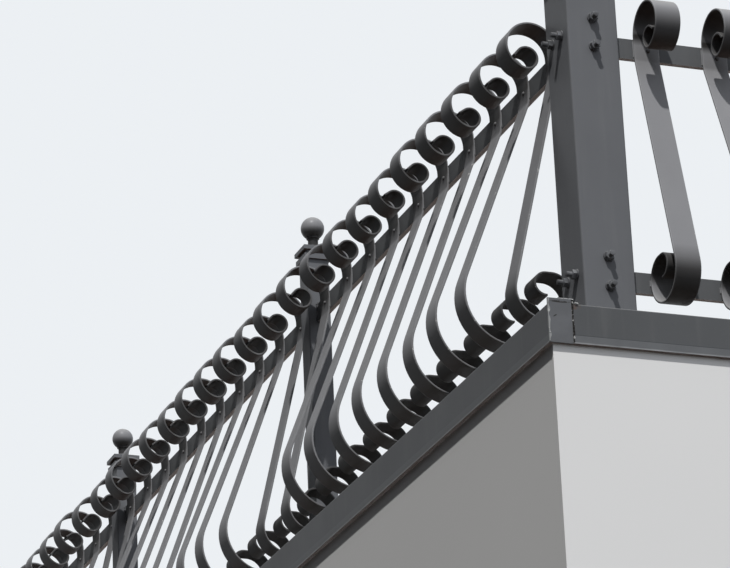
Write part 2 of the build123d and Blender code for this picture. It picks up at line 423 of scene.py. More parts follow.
def seam_paint(name, look):
    """Paint over a weld or a bolt: darker, rougher, with rust starting in spots."""
    made = Finish(name)
    spots = made.noise(130.0, 4.0, rough=0.6)
    tones = made.noise(60.0, 3.0).step(0.3, 0.7)
    base = made.mix(tones, shade(look.steel_colour, 0.6), shade(look.steel_colour, 1.15))
    base = made.mix(spots.step(0.6, 0.72) * 0.55, base, look.rust_colour)
    base = made.mix(made.upward().step(0.2, 0.9) * 0.4, base, look.dust_colour)
    lumps = made.bump(made.noise(420.0, 3.0), 0.5, LUMP_DEPTH)
    return made.finish(base, (0.42 + 0.2 * spots).clamp(), lumps)


# Settings that a user would change


def a_length(name, description, millimetres):
    """A length, with its default in millimetres."""
    return FloatProperty(name=name, description=description, default=millimetres * MM, unit="LENGTH")


def an_angle(name, description, degrees):
    """An angle, with its default in degrees."""
    return FloatProperty(name=name, description=description, default=radians(degrees), unit="ROTATION")


def a_share(name, description, default, top=1):
    """A share from 0 to its top."""
    return FloatProperty(name=name, description=description, default=default, min=0, max=top)


def a_strength(name, description, default):
    """The strength of a light."""
    return FloatProperty(name=name, description=description, default=default, min=0)


def a_colour(name, description, *default):
    """A colour, as three numbers."""
    return FloatVectorProperty(name=name, description=description, subtype="COLOR", size=3, default=default)


class RailingLook(bpy.types.PropertyGroup):
    """Colours and wear of the painted steel."""

    steel_colour: a_colour("Steel paint", "Graphite satin paint", 0.150, 0.153, 0.160)
    bar_colour: a_colour("Bar paint", "Weathered paint of the scrolled bars", 0.240, 0.238, 0.243)
    beam_colour: a_colour("Beam paint", "Paint of the beams and rails", 0.112, 0.115, 0.118)
    strip_colour: a_colour("Strip paint", "Paler strip under the beam", 0.140, 0.144, 0.148)
    foot_colour: a_colour("Foot plates", "Paint of the foot plates", 0.16, 0.16, 0.163)
    dust_colour: a_colour("Dust", "Pale dust on upward faces", 0.36, 0.35, 0.33)
    rust_colour: a_colour("Rust", "Brown stain on undersides and welds", 0.13, 0.085, 0.065)
    # Painted shade as well as dirt: this dark colour is laid in the bars' shaded bellies and heads, under the
    # balls, and in real dark marks and gaps.
    grime_colour: a_colour("Grime", "Dark dirt in bellies and curls", 0.028, 0.026, 0.024)
    # Painted light: the rails' pale undersides stand in for light thrown up from below.
    underside_light_colour: a_colour("Rail undersides", "Pale brown under the rails", 0.78, 0.66, 0.61)
    # The pale rubbed edge is worn paint and also a painted highlight along the rims.
    edge_colour: a_colour("Rubbed edge", "Paint rubbed thin on edges", 0.34, 0.34, 0.343)
    chip_colour: a_colour("Chip", "Primer that shows in chips", 0.62, 0.61, 0.58)
    filler_colour: a_colour("Filler", "Light flecks of the corner's filler", 0.52, 0.52, 0.50)
    old_filler_colour: a_colour("Old filler", "The filler between the flecks", 0.30, 0.305, 0.30)
    # Painted shade: the left bars and rails get darker copies of their paint, as the left wing's faces get less
    # light.
    left_bar_shade: a_share("Left bars", "Tone of the left bars, as a share of the bar paint", 0.79)
    left_rail_shade: a_share("Left rails", "Tone of the left rails, as a share of the beam paint", 0.8)
    right_rails: a_share("Right rails", "Tone of the right rails, as a share of the beam paint", 1.1, top=2)
    right_beam: a_share("Right beam", "Tone of the right beam, as a share of the beam paint", 0.9)
    dust: a_share("Dust amount", "Cover of dust on top faces", 0.5)
    brown: a_share("Stain amount", "Brown stain on undersides", 0.85)
    # The amount of the bars' and balls' painted shade and grime.
    grime: a_share("Grime amount", "Dirt in the bellies of the bars", 0.95)
    edge: a_share("Edge wear", "Strength of the pale edges", 0.4)
    edge_width: a_length("Edge width", "Reach of the wear", 1.6)
    peel: a_share("Orange peel", "Strength of the paint's fine bumps", 0.22)


class BarSizes(bpy.types.PropertyGroup):
    """Sizes of the scrolled bars."""

    thickness: a_length("Thickness", "Of the flat bar", 4.0)
    width: a_length("Width", "Of the flat bar", 50.0)
    rounding: a_length("Rounding", "Radius of its long edges", 1.1)
    head_rise: a_length("Head rise", "From the top rail's middle to the head's start", 21.0)
    head_radius: a_length("Head radius", "Of the head's arc", 49.0)
    head_turn: an_angle("Head turn", "Angle of the head's arc", 160.0)
    inward_radius: a_length("Inward radius", "Where the head closes", 44.5)
    inward_turn: an_angle("Inward turn", "Angle of that arc", 96.0)
    curl_radius: a_length("Curl radius", "Of the curl in the head", 20.2)
    curl_turn: an_angle("Curl turn", "Angle of the curl's arc", 238.0)
    curl_end: a_length("Curl end", "Straight end of the curl", 13.0)
    bend_radius: a_length("Bend radius", "Below the top rail", 25.0)
    belly_radius: a_length("Belly radius", "Of the belly's underside", 53.0)
    narrow_front: a_length("Narrow front", "Radius of the belly's front next to a post", 53.0)
    wide_front: a_length("Wide front", "Radius of the belly's front on the other bars", 95.0)
    belly_seat: a_length("Belly seat", "Gap to the bottom rail", 0.2)
    tail_radius: a_length("Tail radius", "Over the belly's inside", 38.0)
    narrow_flat: a_length("Narrow flat", "Of the tail next to a post", 11.0)
    wide_flat: a_length("Wide flat", "Of the tail on the other bars", 19.0)
    tip_radius: a_length("Tip radius", "Of the last curl", 22.0)
    tip_turn: an_angle("Tip turn", "Angle of the last curl", 186.0)
    # Painted shadow inside the bellies: its edge slants across the bar where the lit patch ends.
    slant: a_length("Slant", "Of the dirt's edge inside the bellies", 90.0)
    shadow_edge: a_length("Dirt edge", "Width of the dirt's edge inside the bellies", 20.0)
    # A dark band below each head and a darkening over its crown.
    left_neck: a_length("Left neck", "Dirt below the left heads", 20.0)
    right_neck: a_length("Right neck", "Dirt below the right heads", -2.0)
    left_crown: a_share("Left crown", "Dirt over the left heads", 0.05)
    right_crown: a_share("Right crown", "Dirt over the right heads", 0.68)
    unevenness: a_share("Unevenness", "Of hand-bent scrolls, as a share of a radius", 0.03, top=0.1)
    seed: IntProperty(name="Seed", description="Of the differences between scrolls", default=11)


class FixingSizes(bpy.types.PropertyGroup):
    """Sizes of bolts, nuts, welds and balls."""

    thread: a_length("Thread", "Bolt diameter", 10.0)
    flats: a_length("Across flats", "Of nuts and heads", 16.0)
    nut_height: a_length("Nut height", "Height of a nut", 8.0)
    head_height: a_length("Head height", "Height of a bolt's head", 7.5)
    stub: a_length("Stub", "Thread that stands out of a nut", 11.0)
    washer: a_length("Washer", "Diameter of a washer", 20.0)
    washer_height: a_length("Washer height", "Thickness of a washer", 2.5)
    front_spacing: a_length("Front bolts", "Apart, one above the other", 57.0)
    side_spacing: a_length("Side bolts", "Apart, side by side", 41.0)
    lug_half: a_length("Lug half", "Half height of a left lug", 45.0)
    rivet: a_length("Rivet head", "Diameter of a domed rivet", 8.0)
    bead: a_length("Weld bead", "Leg of a fillet weld", 5.0)
    bar_bead: a_length("Bar bead", "Leg of the weld from bar to rail", 1.8)
    corner_bead: a_length("Corner bead", "Leg of the corner plate's broken weld", 5.6)
    ball_swell: a_length("Ball swell", "Added to the radius of a CAD ball", 1.4)


class StudioSettings(bpy.types.PropertyGroup):
    """Camera, lamps and floor."""

    camera_place: FloatVectorProperty(
        name="Camera", description="Its place", subtype="TRANSLATION", default=(-2.784, -6.044, -2.400)
    )
    heading: an_angle("Heading", "From +Y towards +X", 21.142)
    elevation: an_angle("Elevation", "Above level", 21.477)
    roll: an_angle("Roll", "Of the camera about its view", -2.588)
    lens: FloatProperty(name="Lens", description="Focal length in mm on a 36 mm sensor", default=196.8)
    sun: a_strength("Key", "Strength of the key lamp", 3.15)
    sun_travel: FloatVectorProperty(
        name="Key travel", description="Way of the key's light", subtype="XYZ", default=(0.555, 1.0, -1.85)
    )
    above: a_strength("Fill", "Strength of the light from above", 0.42)
    below: a_strength("Under fill", "Strength of the light from below", 0.09)
    front: a_strength("Front fill", "Strength of the light from the right wing's street side", 1.15)
    above_tint: a_colour("Fill tint", "Colour of the light from above", 0.90, 0.96, 1.05)
    below_tint: a_colour("Under tint", "Colour of the light from below", 1.0, 0.87, 0.80)
    side_shade: a_share("Side shade", "How much dimmer the left side is", 0.94)
    backdrop: a_colour("Backdrop", "Pale backdrop", 0.84, 0.87, 0.90)
    floor: a_colour("Floor", "Pale floor", 0.78, 0.77, 0.75)


# Scrolled bars

# Painted shade round a head, inside it and where it closes onto the bar: places in mm along the bar, from where
# the head closes towards its crown, and the amount at the first four of them. Painted shade on a belly, where
# it
# turns away from the light: where it starts above the underside and the run over which it grows, both in
# lengths of the belly's front.
HEAD_SHADE_AT = (-20, 0, 16, 44, 86, 130)
HEAD_SHADE = (0.85, 0.45, 0.9, 0.85)
WIDE_BELLY_SHADE = (0.85, 0.7)
NARROW_BELLY_SHADE = (1.3, 0.55)


def bent_line(start, heading, moves):
    """Middle line of a bent bar in side view, and its heading at each point.

    A move (0, length) goes straight on. A move (radius, angle) turns about the point that lies the radius
    to the left, or to the right where the angle is negative: point = centre + radius * (sin, -cos) of the
    heading, times the angle's sign.
    """
    points, headings = [np.array([start])], [np.array([heading])]
    here = np.array(start, float)
    for radius, amount in moves:
        if radius == 0:
            run = np.linspace(0, amount, max(2, int(abs(amount) / STRAIGHT_STEP) + 2))[1:, None]
            stretch = here + run * np.array([cos(heading), sin(heading)])
            way = np.full(len(stretch), heading)
        else:
            sign = np.sign(amount)
            centre = here + sign * radius * np.array([-sin(heading), cos(heading)])
            way = heading + np.linspace(0, amount, max(3, int(abs(amount) / TURN_STEP) + 1))[1:]
            stretch = centre + sign * radius * np.stack([np.sin(way), -np.cos(way)], axis=-1)
        points.append(stretch)
        headings.append(way)
        here, heading = stretch[-1], way[-1]
    return np.concatenate(points), np.concatenate(headings)


def move_lengths(moves):
    """How far a bent bar goes along its middle line in each move."""
    return [abs(amount) * (radius or 1.0) for radius, amount in moves]


def flat_section(width, thickness, rounding, steps=3):
    """Outline of a flat bar with rounded corners, anticlockwise, and its wear: 1 on the roundings, and 0 from
    a rounding's width further in on the wide sides."""
    turn = np.linspace(0, pi / 2, steps)
    outline, wear = [], []
    for index, (sx, sy) in enumerate(((1, 1), (-1, 1), (-1, -1), (1, -1))):
        angle = turn + index * pi / 2
        middle = np.array([sx * (width / 2 - rounding), sy * (thickness / 2 - rounding)])
        corner = middle + rounding * np.stack([np.cos(angle), np.sin(angle)], axis=-1)
        inner = np.array([[sx * (width / 2 - 2.2 * rounding), sy * thickness / 2]])
        first = sx * sy < 0
        outline.append(np.concatenate([inner, corner] if first else [corner, inner]))
        wear.append(np.array([0.0] + [1.0] * steps if first else [1.0] * steps + [0.0]))
    return np.concatenate(outline), np.concatenate(wear)


def bar_line(sizes, rails, wide, change):
    """The middle line of one baluster from the end of its head curl to the tip of its tail, its headings, and
    the lengths of its moves up and down from the top rail's lower edge.

    Upwards it rises, turns over in the head's two arcs and ends in the curl and its straight end. Downwards
    it bends out, goes straight, and turns back in the belly's front, its underside, the tail's arc, a flat
    and the tip. The straight touches the bend and the front. Its lean from upright is atan2 of the distances
    across and down between their centres, plus asin of the sum of their radii over the centres' distance.

    rails holds the heights of the top and bottom rails' middles and half a rail's height, and change four
    small shares by which the head, curl, belly and tip of this bar differ from the usual ones.
    """
    top, bottom, half_rail = rails
    head, curl, belly, tip = change
    start = (sizes.thickness / 2, top - half_rail)
    up = [
        (0, sizes.head_rise + half_rail + sizes.head_radius * head * 0.5),
        (sizes.head_radius * (1 + head), -sizes.head_turn),
        (sizes.inward_radius * (1 + head), -sizes.inward_turn),
        (sizes.curl_radius * (1 + curl), -sizes.curl_turn * (1 + 0.8 * curl)),
        (0, sizes.curl_end),
    ]
    front = (sizes.wide_front if wide else sizes.narrow_front) * (1 + belly)
    flat = sizes.wide_flat if wide else sizes.narrow_flat
    across = sizes.belly_radius + sizes.belly_seat - sizes.bend_radius
    drop = top - half_rail - (bottom + front - sizes.belly_radius)
    both = sizes.bend_radius + front
    apart = hypot(across, drop)
    lean = atan2(across, drop) + asin(both / apart)
    down = [
        (sizes.bend_radius, lean),
        (0, (apart ** 2 - both ** 2) ** 0.5),
        (front, -(pi / 2 + lean)),
        (sizes.belly_radius, -pi / 2),
        (sizes.tail_radius, -pi / 2),
        (0, flat * (1 + 3 * tip)),
        (sizes.tip_radius * (1 + tip), -sizes.tip_turn * (1 + tip)),
    ]
    upper, upper_way = bent_line(start, pi / 2, up)
    lower, lower_way = bent_line(start, -pi / 2, down)
    points = np.concatenate([upper[::-1], lower[1:]])
    ways = np.concatenate([upper_way[::-1] + pi, lower_way[1:]])
    return points, ways, move_lengths(up), move_lengths(down)


def bar_grime(sizes, points, up, down, wide, left):
    """Painted shade and darkening at each point of a bar: on its street side and on the inside of its head.
    Also how far the point lies past the end of the belly's underside, in widths of the painted shadow's edge
    there.

    On the street side it grows from 0 to 1 down the belly's front, a painted shade where the belly turns from
    the light, follows the head's painted shade from the table above round the head, and has a black band below
    it. up and down are the lengths of the bar's moves.
    """
    way = np.concatenate([[0.0], np.cumsum(np.linalg.norm(np.diff(points, axis=0), axis=1))])
    _, _, front, underside, *tail = down
    under = way[-1] - underside - sum(tail)
    start, run = WIDE_BELLY_SHADE if wide else NARROW_BELLY_SHADE
    belly = ((way - under + start * front) / (run * front)).clip(0, 1)
    past_under = (way - under - underside) / sizes.shadow_edge

    _, crown_arc, inward_arc, curl_arc, curl_end = up
    crown, dark = (sizes.left_crown, sizes.left_neck) if left else (sizes.right_crown, sizes.right_neck)
    closure = way - curl_arc - curl_end
    places = np.array(HEAD_SHADE_AT) * MM
    inside = np.interp(closure, places[:5], (*HEAD_SHADE, 0))
    outside = np.interp(closure, places, (*HEAD_SHADE, 0.75 * crown, crown))
    neck = closure - crown_arc - inward_arc
    outside *= np.interp(neck, (-30 * MM, 0), (1, 0))
    neck = np.interp(neck, (-16 * MM, -6 * MM, dark, dark + 12 * MM), (0, 1.2, 1.2, 0))
    street = np.maximum(np.maximum(belly, outside), neck)
    return street, inside, past_under


def swept_bar(line, ways, section, place, face):
    """A section carried along a bar's middle line: the section's first coordinate lies along the wing,
    and its second along the line's normal (-sin, cos) of the heading."""
    normal = np.stack([-np.sin(ways), np.cos(ways)], axis=-1)
    side = line[:, None, :] + normal[:, None, :] * section[None, :, 1, None]
    along = np.broadcast_to(place + section[None, :, 0], side.shape[:2])
    return np.stack([along, face - side[..., 0], side[..., 1]], axis=-1)


def bar_places(node, wing, width):
    """Places of the bars' middles along the wing, from the CAD node's box."""
    axis = 1 if wing == "left" else 0
    return np.linspace(low(node)[axis] + width / 2, high(node)[axis] - width / 2, BARS_PER_BAY)


def rail_face(wing, number):
    """Distance across the wing of the rails' street side."""
    return low(f"{wing}_top_rail_{number}")[0 if wing == "left" else 1]


def rail_heights(wing, number):
    """Heights of the rails' middles, and half a rail's height."""
    top = (low(f"{wing}_top_rail_{number}")[2], high(f"{wing}_top_rail_{number}")[2])
    bottom = (low(f"{wing}_bottom_rail_{number}")[2], high(f"{wing}_bottom_rail_{number}")[2])
    return sum(top) / 2, sum(bottom) / 2, (top[1] - top[0]) / 2


class RAILING_OT_scrolls(bpy.types.Operator):
    """Makes the scrolled flat bars of every bay"""

    bl_idname = "railing.scrolls"
    bl_label = "Scrolled bars"

    def execute(self, context):
        sizes, look = context.scene.railing_bars, context.scene.railing_look
        chance = np.random.default_rng(sizes.seed)
        # Painted shade: the left wing's bars get a darker copy of the bar paint.
        shaded_left_colour = shade(look.bar_colour, look.left_bar_shade)
        paints = {
            "right": steel_paint("bar_paint", look, look.bar_colour, 0.46, cad=False),
            "left": steel_paint("shaded_left_bar_paint", look, shaded_left_colour, 0.46, cad=False),
        }
        section, wear = flat_section(sizes.width, sizes.thickness, sizes.rounding)
        # Painted shadow inside each belly: its edge lies further along the bar on one side of the bar's width
        # than on the other.
        slant = sizes.slant * (section[:, 0] / sizes.width + 0.5) / sizes.shadow_edge
        for wing, number in BAYS:
            node = f"{wing}_balusters_{number}"
            skin = Skin()
            for index, place in enumerate(bar_places(node, wing, sizes.width)):
                wide = 0 < index < BARS_PER_BAY - 1
                change = chance.normal(0, sizes.unevenness, 4).clip(-0.05, 0.05)
                line, ways, up, down = bar_line(sizes, rail_heights(wing, number), wide, change)
                vertices, faces = tube(swept_bar(line, ways, section, place, rail_face(wing, number)))
                street, inside, past_under = bar_grime(sizes, line, up, down, wide, wing == "left")
                inside = np.maximum(inside[:, None], (past_under[:, None] + slant).clip(0, 1))
                grime = np.where(section[None, :, 1] > 0, street[:, None], inside)
                skin.add(
                    vertices,
                    faces,
                    mirrored=wing == "left",
                    wear=np.concatenate([np.tile(wear, len(line)), [0, 0]]),
                    grime=np.concatenate([grime.ravel(), street[[0, -1]]]),
                )
            piece = skin.build(f"{wing}_scrolled_bars_{number}", paints[wing], SLOT_STEEL)
            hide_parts(node)
        return {"FINISHED"}


# Fixings

THREAD_PITCH = 1.75 * MM
THREAD_DEPTH = 0.9 * MM
ANCHOR_STUB = 14 * MM  # the thread that stands out of an anchor's nut


def washer_and_hexagon(sizes, profile, place, axis, spin):
    """A washer with bevelled rims on a face, and a hexagon on the washer, as rings from the face outwards.

    The profile says what is cut off the hexagon's corners at each height above the washer.
    """
    rim, bevel, height = sizes.washer / 2, 0.4 * MM, sizes.washer_height
    washer = [(rim - bevel, 0), (rim, bevel), (rim, height - bevel), (rim - bevel, height)]
    corner = sizes.flats / 2 / cos(radians(30))
    outline = [(corner - cut, height + level) for cut, level in profile]
    return [tube(turned(washer, 24, place, axis)), tube(hexagon(outline, sizes.flats, place, axis, spin))]


def nut_parts(sizes, place, axis, spin, stub):
    """Washer, nut and the thread's end that stands out of it, its ridges as rings of two radii in turn."""
    chamfer, cut = 0.9 * MM, 1.3 * MM
    nut = [(cut, 0), (0, chamfer), (0, sizes.nut_height - chamfer), (cut, sizes.nut_height)]
    radius, foot = sizes.thread / 2, sizes.washer_height + sizes.nut_height
    halves = range(2 * int(stub / THREAD_PITCH) + 1)
    ridges = [(radius - (THREAD_DEPTH if k % 2 else 0), foot + k * THREAD_PITCH / 2) for k in halves]
    hidden = (radius - THREAD_DEPTH, sizes.washer_height + 1 * MM)
    thread = [hidden, *ridges, (radius - 1.6 * MM, foot + stub)]
    return washer_and_hexagon(sizes, nut, place, axis, spin) + [tube(turned(thread, 16, place, axis))]


def head_parts(sizes, place, axis, spin):
    """Washer and hexagon head of a bolt."""
    top = sizes.head_height
    head = [(0, 0), (0, top - 1.2 * MM), (1.8 * MM, top)]
    return washer_and_hexagon(sizes, head, place, axis, spin)


def add_parts(skin, parts):
    """Adds several surfaces to a skin."""
    for vertices, faces in parts:
        skin.add(vertices, faces)


class RAILING_OT_rivets(bpy.types.Operator):
    """Makes the small domed rivets that pin each bar to the top rail"""

    bl_idname = "railing.rivets"
    bl_label = "Rivets"

    def execute(self, context):
        sizes, bars = context.scene.railing_fixings, context.scene.railing_bars
        paint = bpy.data.materials["bar_paint"]
        chance = np.random.default_rng(8)
        radius = sizes.rivet / 2
        dome = [(radius * cos(a), radius * 0.8 * sin(a)) for a in np.linspace(0, radians(86), 7)]
        for wing in ("left", "right"):
            skin = Skin()
            for number in [n for w, n in BAYS if w == wing]:
                top = rail_heights(wing, number)[0]
                face = rail_face(wing, number) - bars.thickness
                for place in bar_places(f"{wing}_balusters_{number}", wing, bars.width):
                    aside = chance.uniform(-9, -3) if wing == "left" else chance.uniform(2, 6)
                    spot = (place + aside * MM, face, top + chance.uniform(-2, 2) * MM)
                    vertices, faces = tube(turned(dome, 16, spot, (0, -1, 0)))
                    grime = np.full(len(vertices), 0.5)
                    skin.add(vertices, faces, wing == "left", grime=grime)
            skin.build(f"{wing}_bar_rivets", paint, SLOT_STEEL)
        return {"FINISHED"}


class RAILING_OT_bolts(bpy.types.Operator):
    """Makes the bolts that hold the rail lugs to the corner post, and the anchors in the foot plates"""

    bl_idname = "railing.bolts"
    bl_label = "Bolts and anchors"

    def execute(self, context):
        sizes, look = context.scene.railing_fixings, context.scene.railing_look
        paint = seam_paint("fixing_paint", look)
        chance = np.random.default_rng(5)
        post_low = low("corner_post")
        skin = Skin()
        lug_low, lug_high = low("left_rail_lugs"), high("left_rail_lugs")
        for height in (lug_low[2] + sizes.lug_half, lug_high[2] - sizes.lug_half):
            for side in (-1, 1):
                z = height + side * sizes.front_spacing / 2
                y = side * sizes.side_spacing / 2
                front, left, back = (chance.uniform(0, pi) for _ in range(3))
                add_parts(skin, nut_parts(sizes, (0, post_low[1], z), (0, -1, 0), front, sizes.stub))
                add_parts(skin, nut_parts(sizes, (post_low[0], y, height), (-1, 0, 0), left, sizes.stub))
                add_parts(skin, head_parts(sizes, (0, lug_high[1], z), (0, 1, 0), back))
        skin.build("corner_post_bolts", paint, SLOT_STEEL)

        anchors = Skin()
        plate_top = high("corner_foot_plate")[2]
        for mount in frame["record"]["mounts"]:
            if mount["kind"] != "bolt_pattern":
                continue
            dims, centre = mount["dims"], mount["pos_m"]
            for sx in (-0.5, 0.5):
                for sy in (-0.5, 0.5):
                    x = centre[0] + sx * dims["spacing_x_mm"] * MM
                    y = centre[1] + sy * dims["spacing_y_mm"] * MM
                    spin = chance.uniform(0, pi)
                    add_parts(anchors, nut_parts(sizes, (x, y, plate_top), (0, 0, 1), spin, ANCHOR_STUB))
        anchors.build("foot_plate_anchors", paint, SLOT_FOOT)
        return {"FINISHED"}


# Welds

RIPPLE = 3.2 * MM  # of a weld's laid ripples, from one to the next


def bead(start, end, first, second, leg, chance):
    """A fillet weld between two faces, from start to end along their corner.

    The section is a quarter of a circle that bulges between the two face directions, and its leg swells
    and shrinks with abs(sin) of the way along, as the laid ripples of a weld do.
    """
    start, end = np.array(start, float), np.array(end, float)
    first, second = np.array(first, float), np.array(second, float)
    length = np.linalg.norm(end - start)
    rows = max(4, int(length / RIPPLE * 4) + 1)
    way = np.linspace(0, length, rows)
    swell = 0.86 + 0.14 * np.abs(np.sin(way / RIPPLE * pi / 2 + chance.uniform(0, pi)))
    swell = swell * (1 + 0.1 * np.sin(way / length * chance.uniform(5, 9) + chance.uniform(0, 6)))
    swell[[0, -1]] *= 0.35
    angle = np.linspace(0, pi / 2, 5)
    bulge = np.concatenate([[[0, 0]], np.stack([np.cos(angle), np.sin(angle)], axis=-1) * 0.92])
    size = leg * swell[:, None]
    middle = start + (end - start) * (way / length)[:, None]
    rings = (
        middle[:, None, :]
        + size[..., None] * bulge[None, :, 0, None] * first
        + size[..., None] * bulge[None, :, 1, None] * second
    )
    if np.dot(np.cross(first, second), end - start) < 0:
        rings = rings[::-1]
    return tube(rings)


def edge_film(foot, height, chance):
    """A thin film of filler folded over an upright outer corner that faces -X and -Y.

    Its two flaps reach 1 to 4 mm along the faces: a mean, plus three sines of the height whose lengths and
    starts are drawn by chance. The section has six points, three outside the corner and three inside it.
    """
    rows = 60
    level = np.linspace(0, height, rows)
    flaps = []
    for _ in range(2):
        waves = sum(np.sin(level / (chance.uniform(2, 7) * MM) + chance.uniform(0, 6)) for _ in range(3))
        flaps.append((2.3 + 0.55 * waves).clip(0.8, 4.2) * MM)
    skin, core = -0.5 * MM, 0.3 * MM
    out, inside = np.full(rows, skin), np.full(rows, core)
    x = np.stack([out, out, flaps[0], flaps[0], inside, inside], axis=-1)
    y = np.stack([flaps[1], out, out, inside, inside, flaps[1]], axis=-1)
    z = np.broadcast_to(level[:, None], x.shape)
    return tube(np.stack([x, y, z], axis=-1) + np.asarray(foot, float))


def square_weld(skin, post, plate, leg, chance):
    """A fillet weld round the foot of a square post, on top of its plate."""
    (x0, y0, _), (x1, y1, _) = low(post), high(post)
    height = high(plate)[2]
    corners = [(x0, y0), (x1, y0), (x1, y1), (x0, y1)]
    outward = [(0, -1, 0), (1, 0, 0), (0, 1, 0), (-1, 0, 0)]
    for a, b, side in zip(corners, corners[1:] + corners[:1], outward):
        skin.add(*bead((*a, height), (*b, height), side, (0, 0, 1), leg, chance))


class RAILING_OT_welds(bpy.types.Operator):
    """Lays the weld beads at post feet, rails and bars, and the corner plate's weld and filler"""

    bl_idname = "railing.welds"
    bl_label = "Welds"

    def execute(self, context):
        sizes, look = context.scene.railing_fixings, context.scene.railing_look
        width = context.scene.railing_bars.width
        paint, bar_paint = seam_paint("weld_paint", look), bpy.data.materials["bar_paint"]
        chance = np.random.default_rng(3)
        leg = sizes.bead
        feet = Skin()
        square_weld(feet, "corner_post", "corner_foot_plate", leg * 1.3, chance)
        for wing, number in BAYS:
            square_weld(feet, f"{wing}_post_{number}", f"{wing}_foot_plate_{number}", leg, chance)
        feet.build("post_foot_welds", paint, SLOT_FOOT)

        for wing in ("left", "right"):
            skin, bars = Skin(), Skin()
            for number in [n for w, n in BAYS if w == wing]:
                for level in ("top", "bottom"):
                    self.rail_ends(skin, wing, f"{wing}_{level}_rail_{number}", leg * 0.8, chance)
                self.bar_sides(bars, wing, number, width, sizes.bar_bead, chance)
            skin.build(f"{wing}_rail_welds", paint, SLOT_STEEL)
            bars.build(f"{wing}_bar_welds", bar_paint, SLOT_STEEL)

        self.corner_joint(sizes, look, chance)
        return {"FINISHED"}

    def corner_joint(self, sizes, look, chance):
        """The corner plate's broken weld to the right beam, the filler on its edge, and lumps of it on top."""
        a, b = low("corner_end_plate"), high("corner_end_plate")
        outward, up = (0, -1, 0), (0, 0, 1)
        weld = Skin()
        weld.add(*bead((b[0], b[1], 0), b, (1, 0, 0), outward, sizes.corner_bead, chance))
        broken = broken_paint("broken_weld", look, look.chip_colour, look.grime_colour)
        weld.build("corner_weld", broken, SLOT_STEEL)

        filler = Skin()
        filler.add(*edge_film((a[0], a[1], 1 * MM), b[2] - a[2] - 2 * MM, chance))
        beam_top = high("right_edge_beam")[2]
        # Each lump has its place as a share of the plate's width, its level, and half its length in mm.
        lumps = ((0.58, b[2], 5.0), (0.84, b[2], 6.5), (1.03, b[2], 5.0), (1.25, beam_top, 4.0))
        for share, level, half in lumps:
            x = a[0] + share * (b[0] - a[0])
            start, end = (x - half * MM, b[1], level), (x + half * MM, b[1], level)
            filler.add(*bead(start, end, outward, up, 3.0 * MM, chance))
        flecked = broken_paint("filler", look, look.filler_colour, look.old_filler_colour)
        filler.build("corner_filler", flecked, SLOT_STEEL)

    def bar_sides(self, skin, wing, number, width, leg, chance):
        """A short upright bead on each side of every bar, where it lies on the top and the bottom rail."""
        top, bottom, half = rail_heights(wing, number)
        face = rail_face(wing, number)
        for place in bar_places(f"{wing}_balusters_{number}", wing, width):
            for side in (-1.0, 1.0):
                for height, reach in ((top, half * 0.8), (bottom, half * 0.3)):
                    edge = place + side * width / 2
                    ends = (edge, face, height - reach), (edge, face, height + reach)
                    vertices, faces = bead(*ends, (side, 0, 0), (0, -1, 0), leg, chance)
                    skin.add(vertices, faces, mirrored=wing == "left")

    def rail_ends(self, skin, wing, node, leg, chance):
        """Two upright beads and two level ones at each end of a rail."""
        a, b = low(node), high(node)
        if wing == "left":
            a, b = a[[1, 0, 2]], b[[1, 0, 2]]
        for end, inward in ((a[0], 1.0), (b[0], -1.0)):
            along = (inward, 0, 0)
            runs = [
                ((end, b[1], a[2]), (end, b[1], b[2]), (0, 1, 0)),
                ((end, a[1], a[2]), (end, a[1], b[2]), (0, -1, 0)),
                ((end, a[1], b[2]), (end, b[1], b[2]), (0, 0, 1)),
                ((end, a[1], a[2]), (end, b[1], a[2]), (0, 0, -1)),
            ]
            for start, stop, outward in runs:
                vertices, faces = bead(start, stop, along, outward, leg, chance)
                skin.add(vertices, faces, mirrored=wing == "left")


# Finials


class RAILING_OT_finials(bpy.types.Operator):
    """Turns the posts' balls as smooth castings"""

    bl_idname = "railing.finials"
    bl_label = "Balls"

    def execute(self, context):
        sizes, look = context.scene.railing_fixings, context.scene.railing_look
        # Painted light and shade: the balls take the bars' paler paint, and their lower halves are darkened
        # below.
        paint = steel_paint("casting_paint", look, look.bar_colour, 0.4, cad=False, shine=0.16)
        sides = 40
        for node in [name for name in frame["nodes"] if "_ball" in name]:
            a, b = low(node), high(node)
            radius = (b[0] - a[0]) / 2 + sizes.ball_swell
            middle = b[2] - radius
            angle = np.linspace(asin(max(-1.0, (a[2] - middle) / radius)), radians(89.0), 30)
            profile = np.stack([radius * np.cos(angle), radius * np.sin(angle)], axis=-1)
            vertices, faces = tube(turned(profile, sides, (*(a[:2] + b[:2]) / 2, middle), (0, 0, 1)))
            # Painted shade: darker towards the ball's bottom.
            grime = (-0.12 - 2.2 * np.sin(angle)).clip(0, 1.15)
            skin = Skin()
            skin.add(vertices, faces, grime=np.concatenate([np.repeat(grime, sides), grime[[0, -1]]]))
            piece = skin.build(f"{node}_casting", paint, SLOT_STEEL)
            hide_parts(node)
        return {"FINISHED"}


# Paint of the CAD nodes


